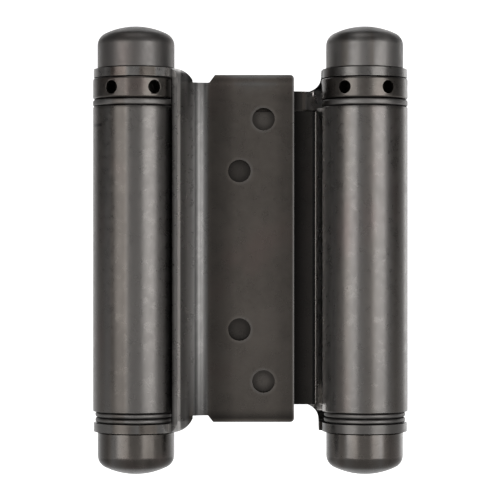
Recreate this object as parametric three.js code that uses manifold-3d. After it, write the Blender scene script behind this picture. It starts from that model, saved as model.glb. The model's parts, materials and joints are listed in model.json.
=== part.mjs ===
// Double-action spring hinge for a swing door, full-surface pattern.
// Two spring barrels stand side by side. A centre web is rolled into both barrel tubes, and a leaf
// hangs on each barrel by two ears, so a door that is fixed to one leaf swings both ways.
// Millimetres, +Z up along the barrels, -Y towards the door. The origin is on the jamb leaf's back
// face, midway between the barrels and at half their height. The door side is on the left, the
// jamb side on the right.
import * as THREE from 'three'
import * as BufferGeometryUtils from 'three/addons/utils/BufferGeometryUtils.js'
import Module from 'manifold-3d'

const degrees = THREE.MathUtils.degToRad

// ---------------------------------------------------------------- driving dimensions

const barrelPitch = 50.5 // between the two barrel axes
const barrelRadius = 9.5 // outside of the rolled tubes
const sheet = 1.9 // gauge of the leaves, the ears and the web
const webGap = 0.45 // between the folded web and each leaf
const legGap = 0.75 // between a barrel and the leg of its leaf
const runGap = 0.15 // between pieces that turn past each other
const fitGap = 0.3 // between pieces that are fixed to each other
const seatGap = 0.1 // between a cap and the ear under it

const leafHeight = 76.2
const leafLift = 0.4 // middle of the leaves, above the middle of the barrels
const leafEdge = 9.6 // from the middle of the hinge to the free edge of a leaf
const leafCornerRadius = 0.8
const foldRadius = 6.0 // outer face of a leaf, where the leg turns into the flat
const legAngle = degrees(42) // from the plane of the hinge to the normal of the leg
const doorLegEdge = 0.6 // cut edge of the leg, along the leg from the foot of its normal
const jambLegEdge = -3.6
const neckEdge = 5.4 // far side of the ear's neck, along the leg
const earRise = 1.8 // ends of the ears, past half the height of a leaf
const earInset = 0.15 // ears, short of the face of the barrel
const earBendRadius = 1.3 // inside of the bend between leg and ear

// Relief notches beside the ears: past the fold, a slope, then a floor that ends at the neck. The
// drop is the depth of the floor under the end of the flat. The round is on the ear.
const doorNotch = { pastFold: 1.05, slope: 1.15, width: 3.1, drop: 1.7, round: 5.0 }
const doorFootNotch = { ...doorNotch, drop: 1.45 }
const jambNotch = { pastFold: 0.2, slope: 0, width: 3.3, drop: 3.25, round: 3.5 }
const jambFootNotch = { ...jambNotch, width: 2.7, drop: 3.55 }

const screwHoleRadius = 2.5
const sinkRadius = 4.0
const sinkAngle = degrees(82)
const outerHole = { x: 2.9, z: 28.8 } // from the middle of the leaf, towards the free edge
const innerHole = { x: -2.4, z: 17.4 }

const webTopInset = 0.85 // web edges, short of the ends of the tubes
const webFootInset = 1.45
const crankAngle = degrees(50) // bend of the web beside a tube
const crankRadius = 0.4 // inside of that bend
const seamAngle = degrees(8) // free edge of a rolled tube, past the plane of the hinge

const collarHeight = 4.6
const collarHoleCount = 6
const collarHoleRadius = 1.45
const collarHoleDepth = 3.6
const doorCollarTurn = degrees(28) // first hole of the collar, from straight ahead
const jambCollarTurn = degrees(30)
const hubLength = 4.5 // part of the collar that goes down into the tube
const topWasherThickness = 1.4
const bottomWasherThickness = 1.05
const bottomWasherInset = 0.55 // bottom washers, short of the face of the barrel
const edgeRound = 0.45 // rounded edges of collars and washers

const spindleRadius = 2.5
const spindleTip = 5.1 // spindle ends, past the ears
const spindleChamfer = 0.5
const capInset = 1.0 // caps, short of the face of the barrel
const capHeight = 9.4
const capCornerRadius = 2.0
const capCrownRise = 1.5
const capFootRound = 0.3

const springWire = 2.2 // diameter of the wire
const springPlay = 0.8 // between the coils and the tube
const springCoils = 16
const tangLength = 3.0
const tangAngle = degrees(90)
const anchorHeight = 6.0

const facet = degrees(9) // turn of one flat of a rounded surface
const coarseFacet = degrees(22.5) // the same on small rounds
const wireSides = 6
const stepsPerCoil = 10

// ---------------------------------------------------------------- sizes that follow

const leafTop = leafLift + leafHeight / 2
const leafFoot = leafLift - leafHeight / 2
const earTop = leafHeight / 2 + earRise
const earUnder = earTop - sheet
const collarTop = earUnder - runGap
const collarBottom = collarTop - collarHeight
const hubBottom = collarBottom - hubLength
const topWasherBottom = collarBottom - runGap - topWasherThickness
const tubeTop = topWasherBottom - runGap
const lowerWasherBottom = -earUnder + runGap
const upperWasherBottom = lowerWasherBottom + bottomWasherThickness + runGap
const tubeBottom = upperWasherBottom + bottomWasherThickness + runGap
const anchorTop = tubeBottom + anchorHeight

const earRadius = barrelRadius - earInset
const bottomWasherRadius = barrelRadius - bottomWasherInset
const capRadius = barrelRadius - capInset
const tubeInner = barrelRadius - sheet
const springRadius = tubeInner - springPlay - springWire / 2 // to the middle of the wire
const plugRadius = tubeInner - fitGap
const hubRadius = plugRadius - runGap
const heldBore = spindleRadius + runGap
const freeBore = spindleRadius + fitGap

const legInner = barrelRadius + legGap
const legOuter = legInner + sheet
const leafInnerFace = sheet / 2 + webGap
const leafOuterFace = leafInnerFace + sheet
const foldOut = legOuter + foldRadius // centre of the fold, out from the axis across the leg
const foldAlong = (foldOut * Math.sin(legAngle) - leafOuterFace - foldRadius) / Math.cos(legAngle)
const foldX = foldOut * Math.cos(legAngle) + foldAlong * Math.sin(legAngle)
const freeEdgeX = barrelPitch / 2 + leafEdge

// ---------------------------------------------------------------- outlines and solids

// Points [x, y] round an arc. The sign of the sweep gives its direction.
function arc(x, y, radius, from, to, step = facet) {
  const count = Math.max(1, Math.round(Math.abs(to - from) / step))
  return Array.from({ length: count + 1 }, (_, index) => {
    const angle = from + ((to - from) * index) / count
    return [x + radius * Math.cos(angle), y + radius * Math.sin(angle)]
  })
}

const circle = (radius, step = facet) => arc(0, 0, radius, 0, 2 * Math.PI, step).slice(0, -1)
const upsideDown = (points) => points.map(([x, y]) => [x, -y]).reverse()

// An outline raised from one height to another.
function raised(outline, low, high) {
  const shape = new THREE.Shape(outline.map(([x, y]) => new THREE.Vector2(x, y)))
  const geometry = new THREE.ExtrudeGeometry(shape, { depth: high - low, bevelEnabled: false })
  return geometry.translate(0, 0, low)
}

// An outline in X and Z, carried from back to front.
function carriedForward(outline, back, front) {
  return raised(outline, -back, -front).rotateX(Math.PI / 2)
}

// A profile of [radius, height] points, turned about the Z axis.
function turned(profile, step = facet) {
  const points = profile.map(([radius, height]) => new THREE.Vector2(radius, height))
  return new THREE.LatheGeometry(points, Math.round((2 * Math.PI) / step)).rotateX(Math.PI / 2)
}

const wasm = await Module()
wasm.setup()

function solid(geometry) {
  const bare = geometry.clone()
  bare.deleteAttribute('normal')
  bare.deleteAttribute('uv')
  const merged = BufferGeometryUtils.mergeVertices(bare, 1e-4)
  const corners = merged.index.array
  const kept = []
  for (let first = 0; first < corners.length; first += 3) {
    const [a, b, c] = corners.slice(first, first + 3)
    if (a !== b && b !== c && c !== a) kept.push(a, b, c)
  }
  return new wasm.Manifold(new wasm.Mesh({
    numProp: 3,
    vertProperties: new Float32Array(merged.attributes.position.array),
    triVerts: new Uint32Array(kept),
  }))
}

function surface(manifold) {
  const mesh = manifold.getMesh()
  const geometry = new THREE.BufferGeometry()
  geometry.setAttribute('position', new THREE.BufferAttribute(mesh.vertProperties, 3))
  geometry.setIndex(new THREE.BufferAttribute(mesh.triVerts, 1))
  geometry.computeVertexNormals()
  return geometry
}

const joined = (first, ...rest) => rest.reduce((sum, next) => sum.add(next), first)
const cut = (body, ...tools) => tools.reduce((rest, tool) => rest.subtract(tool), body)

// ---------------------------------------------------------------- leaves

// A leaf is drawn on the door side, round its barrel axis, in the frame of its leg: X runs out
// from the axis across the leg, Y along the leg to the fold. The finished leaf is turned into
// place. What is drawn square to the hinge is turned into the leg's frame by this.
const intoLegFrame = (geometry) => geometry.rotateZ(legAngle)

// Leg, fold and flat, seen from above.
function leafPlan(legEdge) {
  const foldEnd = Math.PI / 2 + legAngle
  const flatLength = freeEdgeX - foldX
  const edgePoint = (radius) => [
    foldOut + radius * Math.cos(foldEnd) + flatLength * Math.cos(legAngle),
    foldAlong + radius * Math.sin(foldEnd) + flatLength * Math.sin(legAngle),
  ]
  return [
    [legInner, legEdge],
    [legOuter, legEdge],
    ...arc(foldOut, foldAlong, foldRadius, Math.PI, foldEnd),
    edgePoint(foldRadius),
    edgePoint(foldRadius + sheet),
    ...arc(foldOut, foldAlong, foldRadius + sheet, foldEnd, Math.PI),
  ]
}

// Leg with an ear bent over at each end, seen along the leg.
function earHook(legEdge) {
  const bendX = legInner - earBendRadius
  const bendZ = earUnder - earBendRadius
  const step = facet * 1.5
  const outside = [[0, earTop], ...arc(bendX, bendZ, earBendRadius + sheet, Math.PI / 2, 0, step)]
  const inside = [...arc(bendX, bendZ, earBendRadius, 0, Math.PI / 2, step), [0, earUnder]]
  const outline = [...outside, ...upsideDown(outside), ...upsideDown(inside), ...inside]
  return carriedForward(outline, neckEdge, legEdge)
}

// The neck runs on past the start of the fold, and there it only reaches down to the plate.
function neckRelief(notch, footNotch) {
  const high = leafTop - notch.drop - sheet / 2
  const low = leafFoot + footNotch.drop + sheet / 2
  const window = [[0, low], [2 * legOuter, low], [2 * legOuter, high], [0, high]]
  return carriedForward(window, 2 * neckEdge, foldAlong)
}

// Each view below is drawn for the top. The foot is drawn the same way and turned upside down.
const bothEnds = (drawn, notch, footNotch) => [
  ...drawn(notch, leafTop), ...upsideDown(drawn(footNotch, -leafFoot))]

const floorEnd = ({ pastFold, slope, width }) => foldX + pastFold - slope - width

// Front view of the plate, up to the floors of its relief notches.
function plateView(notch, end) {
  const fullX = foldX + notch.pastFold
  const round = leafCornerRadius
  return [
    ...arc(freeEdgeX - round, end - round, round, 0, Math.PI / 2, coarseFacet),
    [fullX, end],
    [fullX - notch.slope, end - notch.drop],
    [0, end - notch.drop],
  ]
}

// Front view of the ears of the door leaf, which slope off over a round shoulder.
function doorEarView(notch, end) {
  const radius = notch.round
  const fall = earTop - end + notch.drop
  const centreX = floorEnd(notch) - Math.sqrt(2 * radius * fall - fall * fall)
  const start = Math.asin((radius - fall) / radius)
  return [...arc(centreX, earTop - radius, radius, start, Math.PI / 2), [-legOuter, earTop]]
}

// Front view of the ears of the jamb leaf, cut back by a round at the end of the notch.
function jambEarView(notch, end) {
  const centreX = floorEnd(notch)
  const centreZ = end - notch.drop + notch.round
  return [
    ...arc(centreX, centreZ, notch.round, -Math.PI / 2, -Math.PI),
    [centreX - notch.round, earTop],
    [-legOuter, earTop],
  ]
}

// One countersunk screw hole, its wide mouth on the face that meets the web.
function screwHole(x, z) {
  const flare = Math.tan(sinkAngle / 2)
  const tool = turned([
    [0, -sheet],
    [sinkRadius + sheet * flare, -sheet],
    [screwHoleRadius, (sinkRadius - screwHoleRadius) / flare],
    [screwHoleRadius, 2 * sheet],
    [0, 2 * sheet],
  ], 2 * facet)
  return tool.rotateX(Math.PI / 2).translate(barrelPitch / 2 + x, -leafInnerFace, z)
}

function leaf(legEdge, notch, footNotch, earView) {
  const through = 2 * foldOut
  const viewed = (drawn) => solid(intoLegFrame(
    carriedForward(bothEnds(drawn, notch, footNotch), through, -through)))
  const plate = solid(raised(leafPlan(legEdge), leafFoot, leafTop)).intersect(viewed(plateView))
  const hook = cut(solid(earHook(legEdge)), solid(neckRelief(notch, footNotch)))
  const ears = [[earUnder, earTop], [-earTop, -earUnder]].map(
    ([low, high]) => solid(raised(circle(earRadius), low, high)))
  const folded = joined(plate, hook.intersect(viewed(earView)), ...ears)
  const spindleHole = solid(raised(circle(heldBore, 2 * facet), -2 * earTop, 2 * earTop))
  const screwHoles = [outerHole, innerHole].flatMap(
    ({ x, z }) => [solid(intoLegFrame(screwHole(x, z))), solid(intoLegFrame(screwHole(x, -z)))])
  return surface(cut(folded, spindleHole, ...screwHoles))
}

// ---------------------------------------------------------------- centre web

// Right-hand half of the web seen from above, round its barrel axis: flat, crank and rolled tube.
function webHalf() {
  const half = sheet / 2
  const bend = crankRadius + half
  const tubeStart = Math.PI / 2 + crankAngle
  const tubeEnd = seamAngle - Math.PI
  const kneeX = (barrelRadius - half) / Math.cos(tubeStart)
  const bendX = kneeX - bend * Math.tan(crankAngle / 2)
  const bendEnd = crankAngle - Math.PI / 2
  return [
    [-barrelPitch / 2, -half],
    ...arc(bendX, bend, bend + half, -Math.PI / 2, bendEnd, coarseFacet / 2),
    ...arc(0, 0, tubeInner, tubeStart, tubeEnd),
    ...arc(0, 0, barrelRadius, tubeEnd, tubeStart),
    ...arc(bendX, bend, crankRadius, bendEnd, -Math.PI / 2, coarseFacet),
    [-barrelPitch / 2, half],
  ]
}

function centreWeb() {
  const rightHalf = raised(webHalf(), tubeBottom, tubeTop).translate(barrelPitch / 2, 0, 0)
  const leftHalf = rightHalf.clone().rotateZ(Math.PI)
  const reach = barrelPitch / 2 - barrelRadius - fitGap
  const strip = (low, high) => new THREE.BoxGeometry(2 * reach, 2 * barrelRadius, high - low)
    .translate(0, 0, (low + high) / 2)
  const topInset = strip(tubeTop - webTopInset, tubeTop + sheet)
  const footInset = strip(tubeBottom - sheet, tubeBottom + webFootInset)
  return surface(cut(joined(solid(rightHalf), solid(leftHalf)), solid(topInset), solid(footInset)))
}

// ---------------------------------------------------------------- barrel pieces

// Outer edge of a ring from its lower face to its upper face, with both corners rounded.
function roundedRim(radius, low, high, round = edgeRound) {
  return [
    ...arc(radius - round, low + round, round, -Math.PI / 2, 0, Math.PI / 2),
    ...arc(radius - round, high - round, round, 0, Math.PI / 2, Math.PI / 2),
  ]
}

function washer(radius, bore, thickness) {
  return turned([[bore, 0], ...roundedRim(radius, 0, thickness), [bore, thickness], [bore, 0]])
}

function spindle() {
  const end = earTop + spindleTip
  const tip = spindleRadius - spindleChamfer
  const upper = [[spindleRadius, end - spindleChamfer], [tip, end], [0, end]]
  return turned([...upsideDown(upper), ...upper], 2 * facet)
}

// Acorn cap with a low crown, bored blind for the end of the spindle.
function cap() {
  const boreDepth = spindleTip - seatGap + fitGap
  const shoulder = capHeight - capCrownRise
  const crownReach = capRadius - capCornerRadius * (1 - Math.SQRT1_2)
  const crownFoot = shoulder - capCornerRadius * (1 - Math.SQRT1_2)
  const crownRise = capHeight - crownFoot
  const crownRadius = (crownReach ** 2 + crownRise ** 2) / (2 * crownRise)
  const crownStart = Math.asin(crownReach / crownRadius)
  return turned([
    [0, boreDepth],
    [heldBore, boreDepth],
    [heldBore, 0],
    [capRadius - capFootRound, 0],
    [capRadius, capFootRound],
    ...arc(capRadius - capCornerRadius, shoulder - capCornerRadius, capCornerRadius, 0,
      Math.PI / 4, coarseFacet),
    ...arc(0, capHeight - crownRadius, crownRadius, Math.PI / 2 - crownStart, Math.PI / 2,
      crownStart / 4).slice(1),
  ], 4 / 3 * facet)
}

// Socket for the tang of the spring, bored upwards from the given height.
function tangSocket(low, high) {
  const socket = raised(circle(springWire / 2 + fitGap, coarseFacet * 2), low, high)
  return socket.translate(springRadius, 0, 0).rotateZ(tangAngle)
}

// Tension collar: a ring with radial holes for a tommy bar and pin, and a hub inside the tube.
function tensionCollar(turn) {
  const ring = solid(turned([
    [freeBore, hubBottom],
    [hubRadius, hubBottom],
    [hubRadius, collarBottom],
    ...roundedRim(barrelRadius, collarBottom, collarTop),
    [freeBore, collarTop],
    [freeBore, hubBottom],
  ]))
  const holes = Array.from({ length: collarHoleCount }, (_, index) => {
    const angle = turn - Math.PI / 2 + (index * 2 * Math.PI) / collarHoleCount
    const bore = raised(circle(collarHoleRadius, 4 * facet), 0, 2 * collarHoleDepth)
    bore.rotateY(Math.PI / 2).translate(barrelRadius - collarHoleDepth, 0, 0).rotateZ(angle)
    return solid(bore.translate(0, 0, (collarBottom + collarTop) / 2))
  })
  const socket = tangSocket(hubBottom - sheet, hubBottom + tangLength)
  return surface(cut(ring, ...holes, solid(socket)))
}

// Anchor plug, fixed in the foot of the tube, that holds the lower tang of the spring.
function springAnchor() {
  const plug = solid(turned([
    [freeBore, tubeBottom],
    ...roundedRim(plugRadius, tubeBottom, anchorTop),
    [freeBore, anchorTop],
    [freeBore, tubeBottom],
  ], 4 / 3 * facet))
  return surface(cut(plug, solid(tangSocket(anchorTop - tangLength, anchorTop + sheet))))
}

// Line of the spring wire. It is laid out flat as [along, height] points, a tang at each end of
// the sloping coils, and then wrapped round the cylinder of the coils.
function springLine() {
  const wireRadius = springWire / 2
  const low = anchorTop + fitGap + wireRadius
  const high = hubBottom - fitGap - wireRadius
  const bend = wireRadius + fitGap
  const tang = tangLength - fitGap
  const length = springCoils * 2 * Math.PI * springRadius
  const lowerEnd = [
    [0, anchorTop - tang],
    ...arc(bend, low - bend, bend, Math.PI, Math.PI / 2, 2 * coarseFacet),
  ]
  const coilSteps = springCoils * stepsPerCoil
  const coils = Array.from({ length: coilSteps - 1 }, (_, index) => {
    const share = (index + 1) / coilSteps
    return [bend + (length - 2 * bend) * share, low + (high - low) * share]
  })
  const upperEnd = lowerEnd.map(([along, height]) => [length - along, low + high - height]).reverse()
  const wrapped = [...lowerEnd, ...coils, ...upperEnd].map(([along, height]) => {
    const angle = tangAngle + along / springRadius
    return new THREE.Vector3(
      springRadius * Math.cos(angle), springRadius * Math.sin(angle), height)
  })
  const line = new THREE.CatmullRomCurve3(wrapped)
  line.arcLengthDivisions = 4 * wrapped.length
  return line
}

function torsionSpring() {
  const section = new THREE.Shape(
    circle(springWire / 2, (2 * Math.PI) / wireSides).map(([x, y]) => new THREE.Vector2(x, y)))
  const steps = springCoils * stepsPerCoil + 4
  return new THREE.ExtrudeGeometry(section, { steps, bevelEnabled: false, extrudePath: springLine() })
}

// ---------------------------------------------------------------- finishes

const agedBronze = () => new THREE.MeshStandardMaterial({ color: 0x5a5550, roughness: 0.4, metalness: 0.8 })
const darkBronze = () => new THREE.MeshStandardMaterial({ color: 0x47433f, roughness: 0.45, metalness: 0.8 })
const plainSteel = () => new THREE.MeshStandardMaterial({ color: 0x9a9a98, roughness: 0.35, metalness: 1 })
const springSteel = () => new THREE.MeshStandardMaterial({ color: 0x3c3d40, roughness: 0.5, metalness: 0.9 })

// ---------------------------------------------------------------- assembly

function piece(name, geometry, material, height = 0) {
  const mesh = new THREE.Mesh(geometry, material)
  mesh.name = name
  mesh.position.z = height
  return mesh
}

function barrel(side, collarTurn) {
  const bottomCap = piece(`${side}_bottom_cap`, cap(), agedBronze(), -earTop - seatGap)
  bottomCap.rotation.x = Math.PI
  return [
    piece(`${side}_spindle`, spindle(), plainSteel()),
    piece(`${side}_top_cap`, cap(), agedBronze(), earTop + seatGap),
    bottomCap,
    piece(`${side}_tension_collar`, tensionCollar(collarTurn), agedBronze()),
    piece(`${side}_top_washer`, washer(barrelRadius, plugRadius, topWasherThickness), darkBronze(),
      topWasherBottom),
    piece(`${side}_bottom_washer_upper`,
      washer(bottomWasherRadius, freeBore, bottomWasherThickness), darkBronze(), upperWasherBottom),
    piece(`${side}_bottom_washer_lower`,
      washer(bottomWasherRadius, freeBore, bottomWasherThickness), darkBronze(), lowerWasherBottom),
    piece(`${side}_spring_anchor`, springAnchor(), plainSteel()),
    piece(`${side}_torsion_spring`, torsionSpring(), springSteel()),
  ]
}

// Everything that stands on one barrel axis. The jamb side is the door side turned half round,
// apart from the pieces that face forward on both sides.
function half(side, x, turn, leafGeometry, collarTurn) {
  const leafPiece = piece(`${side}_leaf`, leafGeometry, darkBronze())
  leafPiece.rotation.z = turn - legAngle
  const onAxis = new THREE.Group()
  onAxis.position.x = x
  onAxis.add(leafPiece, ...barrel(`${side}_side`, collarTurn))
  return onAxis
}

const doorLeaf = leaf(doorLegEdge, doorNotch, doorFootNotch, doorEarView)
const jambLeaf = leaf(jambLegEdge, jambNotch, jambFootNotch, jambEarView)

const hinge = new THREE.Group()
hinge.position.y = -leafOuterFace
hinge.add(
  piece('centre_web', centreWeb(), agedBronze()),
  half('door', -barrelPitch / 2, 0, doorLeaf, doorCollarTurn),
  half('jamb', barrelPitch / 2, Math.PI, jambLeaf, jambCollarTurn),
)

export default hinge
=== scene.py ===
"""Double-action spring hinge: a modelling add-on for the finished parts of the hinge."""

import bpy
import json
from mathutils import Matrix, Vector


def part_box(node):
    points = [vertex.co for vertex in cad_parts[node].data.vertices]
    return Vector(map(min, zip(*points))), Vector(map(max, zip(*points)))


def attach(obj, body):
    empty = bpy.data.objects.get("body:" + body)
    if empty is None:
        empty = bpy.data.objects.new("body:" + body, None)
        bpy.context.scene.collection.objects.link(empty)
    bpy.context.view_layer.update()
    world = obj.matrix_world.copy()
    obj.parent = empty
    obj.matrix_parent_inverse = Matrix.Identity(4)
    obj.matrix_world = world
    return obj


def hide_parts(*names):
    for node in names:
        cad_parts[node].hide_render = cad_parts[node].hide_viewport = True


bl_info = {
    "name": "Double-Action Spring Hinge",
    "version": (1, 0, 0),
    "blender": (4, 5, 0),
    "location": "3D View > Sidebar > Spring Hinge",
    "description": "Models the web, leaves, caps, collars and washers, and finishes all pieces",
    "category": "Object",
}

import json
import math

import bmesh
import bpy
from bpy.props import FloatProperty, FloatVectorProperty, IntProperty, PointerProperty
from mathutils import Vector

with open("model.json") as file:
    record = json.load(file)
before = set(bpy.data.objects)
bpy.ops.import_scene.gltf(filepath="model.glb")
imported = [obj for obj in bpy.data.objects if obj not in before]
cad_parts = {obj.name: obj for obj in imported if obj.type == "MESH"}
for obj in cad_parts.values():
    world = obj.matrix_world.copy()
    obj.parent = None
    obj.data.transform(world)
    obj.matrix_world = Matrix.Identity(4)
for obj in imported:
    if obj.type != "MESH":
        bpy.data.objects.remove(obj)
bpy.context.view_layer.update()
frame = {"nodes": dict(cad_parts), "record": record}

MM = 0.001
MERGE_DISTANCE = 0.002 * MM  # corners closer together than this are one corner
ROUND_STEPS = 5  # facets of a rounded edge on a turned piece
METAL_SHARE = 0.95
OUTER_HOLE = (2.9, 28.8)  # millimetres from the middle of a leaf, to its free edge and up
INNER_HOLE = (-2.4, 17.4)
SIDES = ("door_side", "jamb_side")
BODY_OF_NODE = {
    node: body for body, nodes in frame["record"]["behaviour"]["bodies"].items() for node in nodes
}


# ---------------------------------------------------------------- measures of the frame


def middle(node):
    low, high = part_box(node)
    return (low + high) / 2


def axis_of(side):
    """Foot of a barrel's axis, level with the middle of the hinge."""
    centre = middle(f"{side}_tension_collar")
    return Vector((centre.x, centre.y, 0))


def barrel_radius():
    low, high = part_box("door_side_tension_collar")
    return (high.y - low.y) / 2


def heights(node):
    low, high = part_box(node)
    return low.z, high.z


# ---------------------------------------------------------------- modelling


def deselect():
    bpy.ops.object.select_all(action="DESELECT")


def activate(piece):
    deselect()
    piece.select_set(True)
    bpy.context.view_layer.objects.active = piece


def begin(name):
    """Names the primitive that was just added and puts its place into its mesh."""
    piece = bpy.context.active_object
    piece.name = name
    piece.data.name = name
    bpy.ops.object.transform_apply(location=True, rotation=True, scale=True)
    return piece


def edit(piece):
    activate(piece)
    bpy.ops.object.mode_set(mode="EDIT")


def done():
    bpy.ops.object.mode_set(mode="OBJECT")


def pick_faces(piece, test):
    """Selects in edit mode the faces whose centres pass a test."""
    bpy.ops.mesh.select_mode(type="FACE")
    bpy.ops.mesh.select_all(action="DESELECT")
    mesh = bmesh.from_edit_mesh(piece.data)
    for face in mesh.faces:
        if test(face.calc_center_median()):
            face.select_set(True)
    mesh.select_flush_mode()
    bmesh.update_edit_mesh(piece.data)


def modified(piece, kind, **settings):
    """Adds a modifier, sets it and applies it."""
    activate(piece)
    bpy.ops.object.modifier_add(type=kind)
    modifier = piece.modifiers[-1]
    for name, value in settings.items():
        setattr(modifier, name, value)
    bpy.ops.object.modifier_apply(modifier=modifier.name)


def break_edges(piece, width, segments=3, angle=32):
    """Rounds every edge that turns by more than an angle."""
    modified(
        piece, "BEVEL",
        width=width, segments=segments, limit_method="ANGLE", angle_limit=math.radians(angle),
        use_clamp_overlap=True, miter_outer="MITER_ARC", harden_normals=False,
    )


def smooth(piece, angle=40):
    """Smooth shading that leaves flat faces flat."""
    activate(piece)
    bpy.ops.object.shade_smooth_by_angle(angle=math.radians(angle))
    modified(piece, "WEIGHTED_NORMAL", mode="FACE_AREA", weight=50, keep_sharp=True)


def tidy_normals():
    """Merges the doubles of the piece in edit mode and turns its faces outwards."""
    bpy.ops.mesh.select_all(action="SELECT")
    bpy.ops.mesh.remove_doubles(threshold=MERGE_DISTANCE)
    bpy.ops.mesh.normals_make_consistent(inside=False)


def start_vertex(name, place):
    """A single vertex to trace a profile from."""
    deselect()
    bpy.ops.mesh.primitive_plane_add(size=MM, location=place)
    piece = begin(name)
    bpy.ops.object.mode_set(mode="EDIT")
    bpy.ops.mesh.select_mode(type="VERT")
    bpy.ops.mesh.select_all(action="SELECT")
    bpy.ops.mesh.merge(type="CENTER")
    return piece


def pull(step):
    """Extrudes what is selected by a step."""
    bpy.ops.mesh.extrude_region_move(TRANSFORM_OT_translate={"value": step})


def trace(name, points):
    """Pulls a vertex from point to point, and leaves the line selected in edit mode."""
    piece = start_vertex(name, points[0])
    for here, there in zip(points, points[1:]):
        pull(there - here)
    bpy.ops.mesh.select_all(action="SELECT")
    return piece


def turned(name, axis, profile, steps=96):
    """Traces a profile of [radius, height] points beside an axis and spins it round."""
    piece = trace(name, [axis + Vector((radius, 0, height)) for radius, height in profile])
    bpy.ops.mesh.spin(
        steps=steps, angle=math.tau, center=(axis.x, axis.y, 0), axis=(0, 0, 1))
    tidy_normals()
    done()
    return piece


def arc(x, y, radius, start, end, steps):
    """Points round an arc, angles in degrees."""
    return [
        (x + radius * math.cos(math.radians(start + (end - start) * step / steps)),
         y + radius * math.sin(math.radians(start + (end - start) * step / steps)))
        for step in range(steps + 1)
    ]


def rounded_rim(radius, low, high, edge):
    """Profile of a rim from its lower edge to its upper one, both rounded."""
    return [
        *arc(radius - edge, low + edge, edge, -90, 0, ROUND_STEPS),
        *arc(radius - edge, high - edge, edge, 0, 90, ROUND_STEPS),
    ]


def finished(piece, node, material):
    """Gives a piece its material, and lets it stand for a CAD node and move with it."""
    piece.data.materials.clear()
    piece.data.materials.append(material)
    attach(piece, BODY_OF_NODE[node])
    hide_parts(node)


# ---------------------------------------------------------------- finishes


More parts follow.
